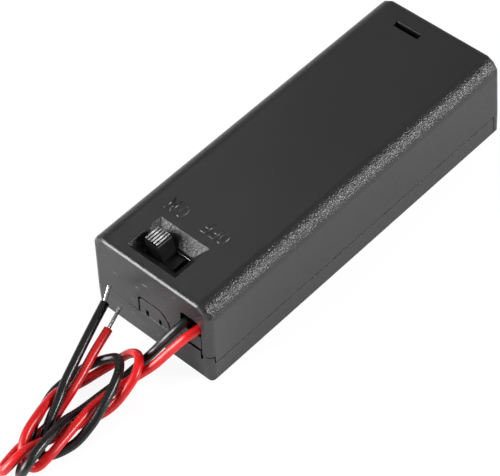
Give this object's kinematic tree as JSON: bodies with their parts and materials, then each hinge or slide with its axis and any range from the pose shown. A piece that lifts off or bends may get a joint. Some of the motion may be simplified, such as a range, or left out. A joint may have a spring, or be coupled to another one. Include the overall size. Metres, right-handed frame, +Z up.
{
  "type": "cylindrical cell holder",
  "caption": "Closed battery box for small cylindrical cells side by side, with a slide switch in a bevelled well, a hooked cover and stranded leads with stripped ends.",
  "frame": {"origin": "centre of the box's footprint at the plane it rests on, leads left out", "axes": "+Z up, out of the face with the switch; -Y the end the leads leave by; +X to the right seen from the lead end"},
  "size_m": [0.025, 0.1036, 0.017],
  "materials": {
    "case_plastic": "fine-grained moulded ABS",
    "cover_plastic": "fine-grained moulded ABS",
    "knob_plastic": "moulded acetal",
    "switch_steel": "tin-plated pressed steel",
    "laminate": "phenolic laminate",
    "spring_bronze": "rolled phosphor bronze",
    "tinned_brass": "tin-plated brass",
    "nickel_steel": "nickel-plated spring steel",
    "solder": "tin-copper solder",
    "red_pvc": "extruded PVC",
    "black_pvc": "extruded PVC",
    "tinned_copper": "tinned stranded copper"
  },
  "bodies": {
    "case": {"case": "case_plastic", "switch_frame": "switch_steel", "switch_base": "laminate", "terminal_on": "tinned_brass", "terminal_common": "tinned_brass", "terminal_off": "tinned_brass", "bridge_plate": "nickel_steel", "bridge_spring": "nickel_steel", "positive_plate": "nickel_steel", "negative_plate": "nickel_steel", "negative_spring": "nickel_steel", "link_wire": "red_pvc", "link_joint_plate": "solder", "link_joint_switch": "solder", "red_joint": "solder", "black_joint": "solder", "red_lead": "red_pvc", "black_lead": "black_pvc", "red_tinned_end": "tinned_copper", "black_tinned_end": "tinned_copper"},
    "cover": {"cover": "cover_plastic"},
    "knob": {"switch_knob": "knob_plastic", "switch_wiper": "spring_bronze"}
  },
  "joints": [
    {"name": "cover_hooks", "type": "hinge", "parent": "case", "child": "cover", "pos_m": [0, 0.03265, 0.0004], "axis": [1, 0, 0], "range_deg": [0, 20]},
    {"name": "knob_slide", "type": "slide", "parent": "case", "child": "knob", "axis": [1, 0, 0], "range_m": [0, 0.0028]}
  ]
}
